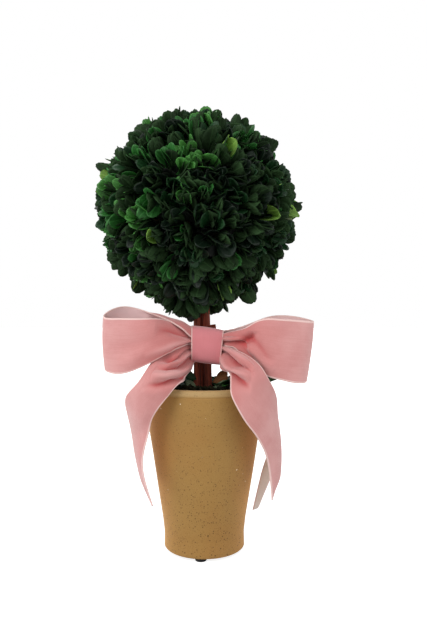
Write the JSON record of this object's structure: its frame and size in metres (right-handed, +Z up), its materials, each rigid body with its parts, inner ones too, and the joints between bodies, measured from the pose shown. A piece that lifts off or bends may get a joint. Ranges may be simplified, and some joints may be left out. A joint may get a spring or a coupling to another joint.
{
  "type": "box topiary ball in a clay pot with a ribbon bow",
  "caption": "Clipped ball of small box leaves on a stem of bundled sticks, in a tapered tan clay pot, with a large pink velvet bow tied over the rim.",
  "frame": {"origin": "on the ground under the middle of the pot, at the level of the foot pads' undersides", "axes": "+Z up along the stem, -Y towards the front, where the bow is tied, +X to the right seen from the front"},
  "size_m": [0.1652, 0.1542, 0.3435],
  "materials": {
    "clay": "matte",
    "pad": "matte",
    "foam": "matte",
    "moss": "matte",
    "bark": "matte",
    "leaf": "satin",
    "velvet": "matte"
  },
  "bodies": {
    "root": {"pot": "clay", "foot_pad_1": "pad", "foot_pad_2": "pad", "foot_pad_3": "pad", "foot_pad_4": "pad", "planting_foam": "foam", "moss": "moss", "stick_left": "bark", "stick_right": "bark", "stick_back": "bark", "leaf_ball": "leaf", "foot_leaves_left": "leaf", "foot_leaves_right": "leaf", "foot_leaves_side": "leaf", "foot_leaves_back": "leaf", "bow_knot": "velvet", "bow_tie": "velvet", "bow_loop_left": "velvet", "bow_loop_right": "velvet", "bow_tail_left": "velvet", "bow_tail_right": "velvet"}
  },
  "joints": []
}
